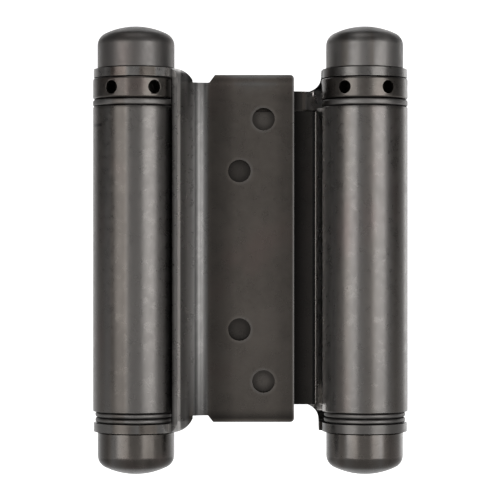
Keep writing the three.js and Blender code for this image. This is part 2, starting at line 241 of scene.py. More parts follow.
class Nodes:
    """Short way to lay out the nodes of a material or a world."""

    def __init__(self, owner, output):
        owner.use_nodes = True
        self.tree = owner.node_tree
        self.tree.nodes.clear()
        self.output = self.add(output)

    def add(self, kind, **settings):
        node = self.tree.nodes.new(kind)
        for name, value in settings.items():
            setattr(node, name, value)
        return node

    def link(self, source, target):
        self.tree.links.new(source, target)

    def put(self, value, socket):
        """Feeds an input with another node's output, a colour or a number."""
        if hasattr(value, "is_output"):
            self.link(value, socket)
        elif isinstance(value, tuple):
            socket.default_value = (*value, 1)
        else:
            socket.default_value = value

    def place(self, scale=(1, 1, 1)):
        coordinates = self.add("ShaderNodeTexCoord")
        mapping = self.add("ShaderNodeMapping")
        mapping.inputs["Scale"].default_value = scale
        self.link(coordinates.outputs["Object"], mapping.inputs["Vector"])
        return mapping.outputs["Vector"]

    def noise(self, where, scale, detail=3.0, roughness=0.5, distortion=0.0):
        node = self.add("ShaderNodeTexNoise")
        node.inputs["Scale"].default_value = scale
        node.inputs["Detail"].default_value = detail
        node.inputs["Roughness"].default_value = roughness
        node.inputs["Distortion"].default_value = distortion
        self.link(where, node.inputs["Vector"])
        return node.outputs["Fac"]

    def range(self, value, low, high, to_low=0.0, to_high=1.0):
        node = self.add("ShaderNodeMapRange", interpolation_type="SMOOTHSTEP")
        self.link(value, node.inputs["Value"])
        for name, number in (
                ("From Min", low), ("From Max", high), ("To Min", to_low), ("To Max", to_high)):
            node.inputs[name].default_value = number
        return node.outputs["Result"]

    def mix(self, factor, first, second):
        """Colour that goes from the first to the second as the factor goes from 0 to 1."""
        node = self.add("ShaderNodeMix", data_type="RGBA")
        self.put(factor, node.inputs[0])
        self.put(first, node.inputs[6])  # sockets 2 and 3 are for numbers, 6 and 7 for colours
        self.put(second, node.inputs[7])
        return node.outputs[2]

    def between(self, share, first, second):
        """Level that goes from the first to the second as the share goes from 0 to 1."""
        node = self.add("ShaderNodeMix", data_type="FLOAT")
        self.put(share, node.inputs[0])
        self.put(first, node.inputs[2])
        self.put(second, node.inputs[3])
        return node.outputs[0]

    def math(self, operation, first, second=0.0):
        node = self.add("ShaderNodeMath", operation=operation)
        self.put(first, node.inputs[0])
        self.put(second, node.inputs[1])
        return node.outputs[0]

    def less(self, level):
        """What a level leaves of 1."""
        return self.math("SUBTRACT", 1.0, level)

    def across(self, axis="X"):
        """One of the object's own coordinates, in millimetres."""
        parts = self.add("ShaderNodeSeparateXYZ")
        self.link(self.place(), parts.inputs[0])
        return self.math("MULTIPLY", parts.outputs[axis], 1 / MM)

    def curve(self, value, *stops):
        """Level that runs straight from stop to stop, each a (value, level) pair."""
        low, high = stops[0][0], stops[-1][0]
        share = self.add("ShaderNodeMapRange")
        self.link(value, share.inputs["Value"])
        share.inputs["From Min"].default_value = low
        share.inputs["From Max"].default_value = high
        ramp = self.add("ShaderNodeValToRGB")
        self.link(share.outputs["Result"], ramp.inputs["Fac"])
        tallest = max(level for _, level in stops)
        elements = ramp.color_ramp.elements
        for place, _ in stops[1:-1]:
            elements.new((place - low) / (high - low))
        for element, (_, level) in zip(elements, stops):
            element.color = (*(level / tallest,) * 3, 1)
        return self.math("MULTIPLY", ramp.outputs["Color"], tallest)

    def band(self, value, start, full, last, end):
        """Level of 1 from full to last, and of 0 before the start and past the end."""
        return self.curve(value, (start, 0.0), (full, 1.0), (last, 1.0), (end, 0.0))

    def product(self, *levels):
        result = levels[0]
        for level in levels[1:]:
            result = self.math("MULTIPLY", result, level)
        return result

    def distance(self, first, second):
        """How far a point lies from another, from the two steps between them."""
        squares = (self.math("MULTIPLY", step, step) for step in (first, second))
        return self.math("SQRT", self.math("ADD", *squares))

    def scaled(self, colour, level):
        """A colour made darker or lighter by a level."""
        node = self.add("ShaderNodeVectorMath", operation="SCALE")
        self.link(colour, node.inputs[0])
        self.link(level, node.inputs["Scale"])
        return node.outputs[0]

    def bump(self, height, distance, strength=1.0, normal=None):
        node = self.add("ShaderNodeBump")
        node.inputs["Strength"].default_value = strength
        node.inputs["Distance"].default_value = distance
        self.link(height, node.inputs["Height"])
        if normal is not None:
            self.link(normal, node.inputs["Normal"])
        return node.outputs["Normal"]


def material_nodes(name):
    """A material, made if it isn't there yet, with its nodes cleared to lay out new ones."""
    material = bpy.data.materials.get(name) or bpy.data.materials.new(name)
    return material, Nodes(material, "ShaderNodeOutputMaterial")


def shade(colour, factor):
    return tuple(channel * factor for channel in colour)


def tinted(colour, tint):
    return tuple(channel * part for channel, part in zip(colour, tint))


def bronze(name, colour, roughness, depth, highlight_tint=(1.02, 1.0, 0.98), plain=None):
    """Dark bronze plating: cloudy tone, faint warm patches, fine grain, specks and rubbed edges.

    Depth is a function that gives a level of painted light and shade over the piece, which scales
    the tone. Where the level is high, on painted highlights, the tone turns to the plain highlight
    colour, and where the function plain says so as well.
    """
    edge_reach = 0.3 * MM
    grain_height = 0.004 * MM
    mottle_height = 0.012 * MM
    pit_depth = 0.03 * MM
    warm = tinted(colour, (1.12, 0.96, 0.98))
    highlight_colour = tinted((sum(colour) / 3,) * 3, highlight_tint)

    material, nodes = material_nodes(name)
    where = nodes.place()
    clouds = nodes.noise(where, scale=110, detail=4, roughness=0.6)
    mottle = nodes.noise(where, scale=520, detail=5, roughness=0.65, distortion=0.4)
    grain = nodes.noise(where, scale=2600)
    patches = nodes.noise(where, scale=60)
    specks = nodes.noise(where, scale=900, detail=2)

    tone = nodes.mix(nodes.range(clouds, 0.35, 0.65), shade(colour, 0.9), shade(colour, 1.08))
    tone = nodes.mix(nodes.range(mottle, 0.4, 0.75, 0, 0.35), tone, shade(colour, 1.35))
    tone = nodes.mix(nodes.range(patches, 0.52, 0.7, 0, 0.6), tone, warm)
    pits = nodes.range(specks, 0.24, 0.19)
    tone = nodes.mix(nodes.math("MULTIPLY", pits, 0.75), tone, shade(colour, 0.3))

    bevel = nodes.add("ShaderNodeBevel", samples=4)
    bevel.inputs["Radius"].default_value = edge_reach
    geometry = nodes.add("ShaderNodeNewGeometry")
    facing = nodes.add("ShaderNodeVectorMath", operation="DOT_PRODUCT")
    nodes.link(bevel.outputs["Normal"], facing.inputs[0])
    nodes.link(geometry.outputs["Normal"], facing.inputs[1])
    edge = nodes.range(facing.outputs["Value"], 0.985, 0.9)
    rub = nodes.math("MULTIPLY", edge, nodes.range(mottle, 0.3, 0.6, 0.2, 0.8))
    tone = nodes.mix(nodes.math("MULTIPLY", rub, 0.6), tone, shade(colour, 2.4))
    # Painted light and shade: the level scales the tone, and turns it to the plain highlight colour
    # where it is high.
    level = depth(nodes)
    highlight_share = nodes.range(level, 0.7, 1.1, 0, 0.85)
    if plain is not None:
        highlight_share = nodes.math("MAXIMUM", highlight_share, plain(nodes))
    tone = nodes.scaled(nodes.mix(highlight_share, tone, highlight_colour), level)

    shader = nodes.add("ShaderNodeBsdfPrincipled")
    nodes.link(tone, shader.inputs["Base Color"])
    shader.inputs["Metallic"].default_value = METAL_SHARE
    dull = nodes.range(mottle, 0.25, 0.75, roughness - 0.05, roughness + 0.06)
    dull = nodes.math("ADD", dull, nodes.math("MULTIPLY", pits, 0.2))
    nodes.link(dull, shader.inputs["Roughness"])
    surface = nodes.bump(grain, grain_height, 0.6)
    surface = nodes.bump(mottle, mottle_height, 0.5, surface)
    surface = nodes.bump(nodes.less(pits), pit_depth, 0.7, surface)
    nodes.link(surface, shader.inputs["Normal"])
    nodes.link(shader.outputs["BSDF"], nodes.output.inputs["Surface"])
    return material


def steel(name, colour, roughness, along=(1, 1, 0.08)):
    """Steel with marks that are drawn out along the coordinate whose scale is small."""
    mark_depth = 0.01 * MM
    material, nodes = material_nodes(name)
    streaks = nodes.noise(nodes.place(along), scale=1800, detail=4)
    stains = nodes.noise(nodes.place(), scale=160, detail=4)
    tone = nodes.mix(nodes.range(stains, 0.4, 0.7), colour, shade(colour, 0.6))
    tone = nodes.mix(nodes.range(streaks, 0.3, 0.7, 0, 0.3), tone, shade(colour, 1.3))
    shader = nodes.add("ShaderNodeBsdfPrincipled")
    nodes.link(tone, shader.inputs["Base Color"])
    shader.inputs["Metallic"].default_value = 1.0
    nodes.link(
        nodes.range(streaks, 0.3, 0.7, roughness - 0.06, roughness + 0.08),
        shader.inputs["Roughness"])
    nodes.link(nodes.bump(streaks, mark_depth, 0.6), shader.inputs["Normal"])
    nodes.link(shader.outputs["BSDF"], nodes.output.inputs["Surface"])
    return material


def flank_painted_light(nodes):
    """Painted highlights and shade in streaks down the flanks of the two barrels, which differ a
    little.
    """
    return nodes.curve(
        nodes.across(), (-34.5, 0.75), (-32.5, 0.8), (-31.2, 1.08), (-30.5, 0.95), (-29.8, 0.6),
        (-28.8, 0.57), (-27.6, 0.58), (-27.0, 0.85), (-26.0, 1.0), (-18.5, 1.0), (-18.0, 1.2),
        (-15.9, 1.2), (-15.6, 1.0), (17.2, 1.0), (18.9, 0.88), (20.9, 0.82), (22.0, 1.0),
        (23.6, 1.12), (24.9, 0.92), (26.5, 0.85), (27.6, 1.0), (30.2, 1.05), (31.7, 0.78),
        (33.0, 0.85), (34.5, 0.85))


def from_hole(nodes, across, hole):
    """Distance to the nearer of a pair of screw holes. Across runs to the free edge of a leaf."""
    above = nodes.math("SUBTRACT", nodes.math("ABSOLUTE", nodes.across("Z")), hole[1])
    return nodes.distance(nodes.math("SUBTRACT", across, hole[0]), above)


def web_painted_light(nodes):
    """Painted shade in the gaps beside the tubes and behind the screw holes of the leaves.

    The bends beside the tubes and the inner limb of the jamb side's tube have painted highlights,
    and a scratch runs across the limb of the door side's tube.
    """
    # Painted shade in the gaps beside the tubes, a painted highlight line on each crank bend, and
    # painted light on the shaded crank slopes.
    gap_shade_and_highlight = nodes.curve(
        nodes.math("ABSOLUTE", nodes.across()), (6.0, 0.8), (9.2, 0.1), (9.8, 0.02),
        (11.0, 0.06), (13.3, 0.15), (13.6, 0.15), (13.8, 0.0), (14.3, 0.0), (14.35, 3.0),
        (14.48, 3.0), (14.53, 0.6), (14.7, 0.6), (14.85, 6.0), (15.2, 9.0), (15.7, 12.0),
        (16.0, 1.0))
    # Painted highlight down the inner limb of the jamb side's tube.
    limb = nodes.curve(
        nodes.across(), (15.9, 1.0), (16.1, 4.5), (16.5, 6.0), (17.0, 5.0), (17.5, 2.6),
        (18.2, 1.35), (18.9, 1.0))
    door_face = nodes.curve(nodes.across("Y"), (-3.4, 1.0), (-3.2, 0.0))
    side = nodes.math("SUBTRACT", nodes.math("MULTIPLY", door_face, 2.0), 1.0)
    to_edge = nodes.math("MULTIPLY", nodes.across(), side)
    # Painted shade on the web behind the screw holes of the leaves.
    outer = nodes.curve(
        from_hole(nodes, to_edge, OUTER_HOLE),
        (0, 0.76), (1.0, 0.68), (1.5, 0.52), (1.9, 0.43), (2.4, 0.43), (3.2, 0.75), (4.6, 1.0))
    inner = nodes.curve(
        from_hole(nodes, to_edge, INNER_HOLE),
        (0, 0.41), (1.0, 0.38), (1.5, 0.33), (1.9, 0.28), (2.4, 0.28), (3.2, 0.65), (4.6, 1.0))
    scratch = nodes.product(
        nodes.curve(nodes.across(), (-32.6, 1.0), (-32.3, 0.0)),
        nodes.curve(nodes.across("Y"), (-6.0, 1.0), (-5.5, 0.0)),
        nodes.curve(nodes.across("Z"), (27.0, 0.0), (27.2, 0.85), (27.6, 0.85), (27.8, 0.0)))
    return nodes.product(gap_shade_and_highlight, limb, flank_painted_light(nodes), outer, inner, nodes.less(scratch))


def top_cap_painted_light(nodes):
    """Painted highlights and shade in streaks down the top caps."""
    return nodes.curve(
        nodes.across(), (-33.5, 2.0), (-31.2, 1.1), (-27.7, 0.9), (-25.4, 1.0), (-22.0, 1.15),
        (-19.7, 1.25), (-17.3, 0.8), (17.7, 2.2), (19.9, 0.85), (21.0, 0.8), (23.3, 1.8),
        (25.5, 1.0), (26.6, 0.8), (29.5, 2.2), (31.1, 1.7), (33.4, 0.3))


def bottom_cap_painted_light(nodes):
    """Painted highlights and shade in streaks down the bottom caps."""
    return nodes.curve(
        nodes.across(), (-33.5, 0.35), (-31.2, 0.45), (-30.0, 1.1), (-27.7, 0.8), (-25.0, 0.57),
        (-23.1, 0.8), (-22.0, 0.6), (-19.7, 0.75), (-17.3, 0.4), (17.7, 0.4), (18.8, 1.0),
        (19.9, 0.7), (21.0, 1.0), (23.3, 0.72), (25.5, 0.62), (28.4, 1.0), (30.5, 0.55),
        (33.4, 0.7))


def bore_depth(nodes):
    """Painted shade: the holes of a collar are painted black inside."""
    axis = axis_of("jamb_side") / MM
    aside = nodes.math("SUBTRACT", nodes.math("ABSOLUTE", nodes.across()), axis.x)
    ahead = nodes.math("SUBTRACT", nodes.across("Y"), axis.y)
    rim = barrel_radius() / MM
    # Painted shade that blacks out the inside of each hole, times the painted light of the flanks.
    level = nodes.curve(nodes.distance(aside, ahead), (rim - 0.9, 0.12), (rim - 0.45, 0.75))
    return nodes.product(level, flank_painted_light(nodes))


def washer_painted_light(nodes):
    """Painted light that makes the washers lighter than the tubes, and painted shade on the inner
    limb of the jamb side's washers.
    """
    # Painted shade on the inner limb, and a level of 1.4 of painted light elsewhere.
    limb = nodes.curve(
        nodes.across(), (15.0, 1.4), (15.6, 0.25), (16.6, 0.3), (17.4, 1.2), (18.2, 1.4))
    return nodes.product(flank_painted_light(nodes), limb)


def plate_painted_light(nodes, to_edge):
    """Painted shade and highlight rings round the screw holes, and painted shade and highlights
    along the ends, which the shear rolls over.
    """
    away = nodes.math(
        "MINIMUM", from_hole(nodes, to_edge, OUTER_HOLE), from_hole(nodes, to_edge, INNER_HOLE))
    # Painted shade just inside the rim of each screw hole, and a painted highlight ring just
    # outside it.
    hole_rim_shade_and_highlight = nodes.curve(away, (2.3, 0.6), (2.45, 0.75), (2.55, 1.35), (2.85, 1.25), (3.2, 1.0))
    # Painted shade and highlight bands near the top and bottom ends of the plate.
    ends = nodes.curve(
        nodes.across("Z"), (-37.6, 1.4), (-37.4, 1.3), (-37.2, 0.85), (-36.95, 0.5), (-36.7, 0.43),
        (-36.1, 0.6), (-35.6, 0.8), (-35.0, 0.95), (-34.5, 1.0), (33.0, 1.0), (35.5, 1.2),
        (36.1, 1.3), (36.45, 1.55), (37.0, 1.25), (37.5, 1.05), (37.8, 1.3), (38.05, 2.0),
        (38.25, 2.6), (38.6, 1.0))
    plate = nodes.curve(to_edge, (-9.9, 0.0), (-9.5, 1.0))
    return nodes.product(hole_rim_shade_and_highlight, nodes.between(plate, 1.0, ends))


def door_leaf_painted_light(nodes):
    """Painted shade beside the fold, and painted highlights on it and on the cut edge of the leg.

    The ears over the ends of the barrel have painted streaks of light and shade of their own.
    """
    brightest = 6.5
    to_edge = nodes.across()
    # Painted highlights on the cut edge of the leg and on the fold, a painted dark line where the
    # fold starts, and painted shade on the flat beside the fold.
    level = nodes.curve(
        to_edge, (-30.0, 0.5), (-27.5, 0.5), (-25.5, 0.9), (-17.05, 1.2), (-16.8, 1.6),
        (-16.4, 3.3), (-15.9, 3.2), (-15.6, 6.0), (-15.35, 6.0), (-15.2, 1.7), (-15.0, 1.1),
        (-14.4, 1.15), (-13.6, 2.0), (-12.9, 2.1), (-12.3, 1.4), (-12.15, 0.45), (-11.95, 0.45),
        (-11.65, 0.6), (-11.3, 1.35), (-10.9, 1.0), (-10.5, 1.45), (-9.9, 1.0), (-9.2, 0.43),
        (-8.4, 0.31), (-7.3, 0.32), (-6.0, 0.38), (-4.6, 0.48))
    # Painted light across the flat: lightest in the middle, darker towards the free edge, with a
    # painted highlight along the free edge.
    flat = nodes.curve(
        to_edge, (-4.6, 1.0), (-3.3, 1.33), (-1.0, 1.46), (2.6, 1.46), (5.2, 1.33),
        (7.1, 1.04), (9.1, 0.92), (9.3, 1.9), (9.4, 3.4))
    # Painted highlight on the leg towards its ends.
    leg_end_highlight = nodes.curve(
        nodes.across("Z"), (-36.0, 1.4), (-31.0, 1.15), (-28.0, 1.0), (25.0, 1.0), (31.0, 1.15),
        (35.0, 1.6), (37.0, 1.9), (38.0, 1.8), (39.5, 1.4), (41.5, 1.0))
    # Painted shade that dims the fold's highlight towards its ends.
    fold_end_shade = nodes.curve(
        nodes.across("Z"), (-36.0, 0.4), (-35.1, 0.45), (-30.7, 0.62), (-26.3, 0.75), (-20.0, 1.0),
        (20.0, 0.95), (28.0, 0.8), (32.0, 0.72), (35.1, 0.54), (37.0, 0.5))
    # Painted black shade in the gap between the leg and the barrel.
    gap = nodes.product(
        nodes.band(to_edge, -18.0, -17.8, -17.1, -16.95),
        nodes.band(nodes.across("Z"), -38.0, -37.0, 37.0, 38.0))
    leg = nodes.band(to_edge, -17.2, -17.0, -14.2, -13.4)
    fold = nodes.band(to_edge, -14.2, -13.4, -9.9, -9.5)
    # Painted streaks of light and shade across the ears.
    top_ear_painted_light = nodes.curve(
        to_edge, (-33.3, 2.1), (-31.5, 2.0), (-30.0, 0.5), (-27.8, 0.6), (-25.3, 1.45),
        (-24.4, 1.25), (-23.6, 0.5), (-21.0, 0.45), (-20.2, 1.4), (-18.3, 6.0), (-17.3, 1.2))
    bottom_ear_painted_light = nodes.curve(
        to_edge, (-33.3, 1.0), (-30.8, 1.3), (-29.7, 0.8), (-26.5, 0.8), (-24.4, 1.1),
        (-23.5, 0.5), (-20.9, 0.5), (-19.1, 1.7), (-18.2, 4.5), (-17.3, 3.0))
    over_barrel = nodes.curve(to_edge, (-17.4, 1.0), (-17.2, 0.0))
    above = nodes.curve(nodes.across("Z"), (37.2, 0.0), (37.6, 1.0))
    below = nodes.curve(nodes.across("Z"), (-37.6, 1.0), (-37.2, 0.0))
    level = nodes.between(nodes.product(over_barrel, above), level, top_ear_painted_light)
    level = nodes.between(nodes.product(over_barrel, below), level, bottom_ear_painted_light)
    level = nodes.product(
        level, flat, nodes.between(leg, 1.0, leg_end_highlight), nodes.between(fold, 1.0, fold_end_shade),
        plate_painted_light(nodes, to_edge), nodes.less(gap))
    return nodes.math("MINIMUM", level, brightest)


def fold_highlight_tint(nodes):
    """Share of plain grey for the painted highlight on the fold of the door leaf, and on the jamb
    leaf's edge behind it.
    """
    return nodes.curve(nodes.across(), (-12.9, 0.0), (-12.4, 0.95), (-9.6, 0.95), (-8.8, 0.0))


def jamb_leaf_painted_light(nodes):
    """Painted shade, darkest inside the fold, behind the web.

    The neck of the fold has a painted highlight where it shows past the top and the foot of the
    web, and the ears have painted shade on their inner limb.
    """
    to_edge = nodes.math("MULTIPLY", nodes.across(), -1.0)
    # Mask of the inner face of the sheet, which alone takes the painted shade and highlight; the
    # outer face stays at level 0.8.
    middle_of_sheet = nodes.curve(
        to_edge, (-15.1, 3.1), (-14.3, 2.3), (-13.5, 1.7), (-12.5, 0.9), (-11.5, 0.45),
        (-10.3, 0.15), (-9.2, 0.05))
    outwards = nodes.math("SUBTRACT", nodes.math("ADD", nodes.across("Y"), 1.0), middle_of_sheet)
    inside = nodes.curve(outwards, (-0.4, 1.0), (0.4, 0.0))
    # Painted shade, darkest inside the fold.
    level = nodes.curve(
        to_edge, (-17.0, 1.0), (-15.6, 1.2), (-14.8, 0.5), (-14.0, 0.35), (-12.5, 0.1),
        (-11.0, 0.06), (-9.6, 0.1), (-8.0, 0.4), (0.0, 0.7), (9.6, 0.6))
    # Painted highlight on the neck where it shows past the web.
    neck = nodes.curve(
        to_edge, (-17.0, 1.0), (-16.2, 4.0), (-15.9, 14.0), (-15.1, 15.0), (-14.0, 14.0),
        (-13.3, 8.0), (-13.0, 4.5), (-12.6, 2.0), (-12.2, 0.8), (-11.9, 0.3), (-11.4, 0.05),
        (-10.6, 0.03), (-9.8, 0.03), (-9.0, 0.3))
    past_web = nodes.curve(
        nodes.across("Z"), (-36.0, 0.0), (-35.5, 1.0), (-34.2, 1.0), (-33.8, 0.0),
        (31.0, 0.0), (31.4, 1.0), (35.4, 1.0), (36.0, 0.0))
    # Painted shade on the inner limb of the ears.
    limb = nodes.curve(to_edge, (-17.6, 1.0), (-16.8, 0.5), (-15.6, 0.35), (-15.2, 1.0))
    ears = nodes.curve(
        nodes.across("Z"), (-37.0, 1.0), (-36.5, 0.0), (36.8, 0.0), (37.2, 1.0))
    return nodes.product(
        nodes.between(inside, 0.8, nodes.between(past_web, level, neck)),
        nodes.between(ears, 1.0, limb), plate_painted_light(nodes, to_edge))


def barrel_finish(name, depth, duller=0.0):
    finish = bpy.context.scene.hinge_finish
    return bronze(
        name, tuple(finish.barrel_colour), finish.roughness + duller, depth,
        highlight_tint=(1.035, 0.995, 0.965))


def leaf_finish(name, depth):
    finish = bpy.context.scene.hinge_finish
    return bronze(
        name, tuple(finish.leaf_colour), finish.roughness, depth, plain=fold_highlight_tint)


# ---------------------------------------------------------------- properties


class HingeSizes(bpy.types.PropertyGroup):
    """Sizes that shape the finished pieces."""

    sheet: FloatProperty(
        name="Sheet", description="Gauge of the leaves, ears and web",
        default=1.9 * MM, unit="LENGTH", precision=5)
    edge_break: FloatProperty(
        name="Edge Break", description="Round on the sheared edges of the sheet",
        default=0.16 * MM, unit="LENGTH", precision=5)
    crank_angle: FloatProperty(
        name="Crank", description="Bend of the web beside each barrel",
        default=math.radians(50), subtype="ANGLE", unit="ROTATION")
    crank_radius: FloatProperty(
        name="Crank Radius", description="Inside radius of that bend",
        default=0.4 * MM, unit="LENGTH", precision=5)
    seam_angle: FloatProperty(
        name="Seam", description="Free edge of a rolled tube, past the plane of the hinge",
        default=math.radians(8), subtype="ANGLE", unit="ROTATION")
    web_top_inset: FloatProperty(
        name="Web Top Inset", description="Top edge of the web, short of the top of the tubes",
        default=0.85 * MM, unit="LENGTH", precision=5)
    web_foot_inset: FloatProperty(
        name="Web Foot Inset", description="Foot of the web, short of the foot of the tubes",
        default=1.45 * MM, unit="LENGTH", precision=5)
    tube_clearance: FloatProperty(
        name="Tube Clearance", description="From a tube to the part of the web that is inset",
        default=0.3 * MM, unit="LENGTH", precision=5)
    collar_holes: IntProperty(
        name="Collar Holes", description="Radial holes in each tension collar", default=6)
    hole_radius: FloatProperty(
        name="Hole Radius", description="Radius of the radial holes in a collar",
        default=1.45 * MM, unit="LENGTH", precision=5)


class HingeFinish(bpy.types.PropertyGroup):
    """Colours and light of the hinge."""

    barrel_colour: FloatVectorProperty(
        name="Barrel Colour", description="Plating of the web, tubes, caps, collars and washers",
        default=(0.0705, 0.0635, 0.0575), subtype="COLOR", size=3, min=0, max=1)
    leaf_colour: FloatVectorProperty(
        name="Leaf Colour", description="Plating of the leaves",
        default=(0.064, 0.0565, 0.050), subtype="COLOR", size=3, min=0, max=1)
    roughness: FloatProperty(
        name="Roughness", description="Dullness of the plating",
        default=0.3, subtype="FACTOR", min=0, max=1)
    softbox_power: FloatProperty(
        name="Softbox Power", description="Power of each front softbox",
        default=5.6, unit="POWER")


# ---------------------------------------------------------------- stage


def softbox(name, azimuth, elevation, distance, width, height, power):
    """A rectangular lamp that faces the hinge. Azimuth 0 is straight ahead of the leaves."""
    turn, rise = math.radians(azimuth), math.radians(elevation)
    away = Vector((
        math.sin(turn) * math.cos(rise), -math.cos(turn) * math.cos(rise), math.sin(rise)))
    deselect()
    bpy.ops.object.light_add(type="AREA", location=away * distance)
    lamp = bpy.context.active_object
    lamp.name = name
    lamp.rotation_euler = (-away).to_track_quat("-Z", "Y").to_euler()
    lamp.data.shape = "RECTANGLE"
    lamp.data.size = width
    lamp.data.size_y = height
    lamp.data.energy = power
    lamp.visible_camera = False


def seen_directly(nodes):
    """1 for camera, glossy and transmission rays, which see the plain background."""
    path = nodes.add("ShaderNodeLightPath")
    seen = nodes.math("MAXIMUM", path.outputs["Is Camera Ray"], path.outputs["Is Glossy Ray"])
    return nodes.math("MAXIMUM", seen, path.outputs["Is Transmission Ray"])


class HINGE_OT_stage(bpy.types.Operator):
    """Set the floor, the soft studio light and the camera"""

    bl_idname = "hinge.stage"
    bl_label = "Stage"

    fill = 0.19
    softboxes = (  # azimuth and elevation in degrees, distance, width, height, share of the power
        ("left_softbox", -38.5, 0, 0.85, 0.52, 0.56, 1.0),
        ("right_softbox", 37.5, 0, 0.85, 0.55, 0.56, 1.1),
        ("front_card", 0, 4, 1.3, 0.5, 0.5, 0.14),
        ("top_softbox", 0, 75, 0.9, 0.7, 0.5, 0.3),
        ("rear_softbox", 136, 5, 1.0, 0.4, 0.5, 0.18),
        ("rear_card", 180, 32, 1.0, 1.4, 0.5, 0.55),
    )
    camera_distance = 0.486
    camera_height = 0.06 * MM
    camera_offset = -0.066 * MM
    camera_reach = (0.01, 50)  # nearest and farthest
    focal_length = 158.3
    floor_height = -0.12
    floor_size = 12.0
    shadow_reach = 0.25
    shadow_glow = 0.3
    paleness = 0.75
    backdrop_distance = 2.0
    backdrop_width = 12.0
    backdrop_aside = 3.0
    backdrop_height = 0.8
    backdrop_middle = 0.1

    def execute(self, context):
        self.world(context)
        self.floor()
        self.backdrop()
        for *shape, share in self.softboxes:
            softbox(*shape, power=context.scene.hinge_finish.softbox_power * share)
        axis = axis_of("door_side")
        bpy.ops.object.camera_add(
            location=(self.camera_offset, axis.y - self.camera_distance, self.camera_height),
            rotation=(math.radians(90), 0, 0))
        camera = context.active_object
        camera.data.lens = self.focal_length
        camera.data.clip_start, camera.data.clip_end = self.camera_reach
        context.scene.camera = camera
        context.scene.view_settings.view_transform = "Standard"
        return {"FINISHED"}

    def world(self, context):
        """Even grey light all round, and plain white where the camera looks past the floor."""
        world = bpy.data.worlds.new("pale_studio")
        context.scene.world = world
        nodes = Nodes(world, "ShaderNodeOutputWorld")
        path = nodes.add("ShaderNodeLightPath")
        grey = nodes.mix(path.outputs["Is Camera Ray"], (self.fill,) * 3, (1, 1, 1))
        background = nodes.add("ShaderNodeBackground")
        nodes.link(grey, background.inputs["Color"])
        nodes.link(background.outputs[0], nodes.output.inputs["Surface"])

    def floor(self):
        """Pale floor under the hinge, with less glow where the shadow falls."""
        deselect()
        bpy.ops.mesh.primitive_plane_add(
            size=self.floor_size, location=(0, 0, self.floor_height))
        floor = bpy.context.active_object
        floor.name = "pale_floor"
        material, nodes = material_nodes("pale_floor")
        away = nodes.add("ShaderNodeVectorMath", operation="LENGTH")
        nodes.link(nodes.place(), away.inputs[0])
        self.pale(nodes, nodes.range(
            away.outputs["Value"], self.shadow_reach, 2 * self.shadow_reach, self.shadow_glow, 1))
        floor.data.materials.append(material)

    def backdrop(self):
        """Pale wall behind the hinge, in front of the far part of the floor."""
        deselect()
        bpy.ops.mesh.primitive_plane_add(
            size=1,
            location=(self.backdrop_aside, self.backdrop_distance, self.backdrop_middle),
            rotation=(math.radians(90), 0, 0))
        wall = bpy.context.active_object
        wall.name = "pale_backdrop"
        wall.scale = (self.backdrop_width, self.backdrop_height, 1)
        material, nodes = material_nodes("pale_backdrop")
        self.pale(nodes, 1.0)
        wall.data.materials.append(material)

    def pale(self, nodes, glow_level):
        """Matt pale surface that looks plain white and still takes a shadow."""
        matt = nodes.add("ShaderNodeBsdfDiffuse")
        nodes.put((self.paleness,) * 3, matt.inputs["Color"])
        glow = nodes.add("ShaderNodeEmission")
        nodes.put((1, 1, 1), glow.inputs["Color"])
        nodes.link(
            nodes.math("MULTIPLY", seen_directly(nodes), glow_level), glow.inputs["Strength"])
        both = nodes.add("ShaderNodeAddShader")
        nodes.link(matt.outputs[0], both.inputs[0])
        nodes.link(glow.outputs[0], both.inputs[1])
        nodes.link(both.outputs[0], nodes.output.inputs["Surface"])


# ---------------------------------------------------------------- pieces


class HINGE_OT_web(bpy.types.Operator):
    """Roll the centre web and its two spring tubes from one sheet"""

    bl_idname = "hinge.web"
    bl_label = "Centre Web"

    tube_steps = 104
    crank_steps = 10

    def execute(self, context):
        sizes = context.scene.hinge_sizes
        half = sizes.sheet / 2
        radius = barrel_radius() - half
        bottom, top = heights("centre_web")
        jamb = axis_of("jamb_side")

        # Middle of the sheet in plan: the right tube from its free edge, the crank and its bend.
        start = math.degrees(sizes.seam_angle) - 180
        crank = math.degrees(sizes.crank_angle)
        bend = sizes.crank_radius + half
        knee = radius / math.cos(math.radians(90 + crank))
        bend_x = knee - bend * math.tan(sizes.crank_angle / 2)
        plan = arc(0, 0, radius, start, 90 + crank, self.tube_steps)
        bent = arc(bend_x, bend, bend, crank - 90, -90, self.crank_steps)
        step_x = -barrel_radius() - sizes.tube_clearance
        step_y = bent[0][1] + (step_x - bent[0][0]) * math.tan(sizes.crank_angle)
        plan += [(step_x, step_y), *bent]
        right = [jamb + Vector((x, y, bottom)) for x, y in plan]
        pivot = Vector((0, jamb.y, bottom))  # the left half is the right one turned half round it
        left = [pivot * 2 - point for point in reversed(right)]

        piece = trace("web_and_tubes", right + left)
        low, high = bottom + sizes.web_foot_inset, top - sizes.web_top_inset
        for here, there in ((bottom, low), (low, high), (high, top)):
            pull(Vector((0, 0, there - here)))
        pick_faces(piece, lambda centre: (
            abs(centre.x) < jamb.x + step_x and not low < centre.z < high))
        bpy.ops.mesh.delete(type="FACE")
        tidy_normals()
        done()
        modified(piece, "SOLIDIFY", thickness=sizes.sheet, offset=0, use_even_offset=True)
        break_edges(piece, sizes.edge_break)
        smooth(piece)
        finished(piece, "centre_web", barrel_finish("plated_web", web_painted_light))
        return {"FINISHED"}


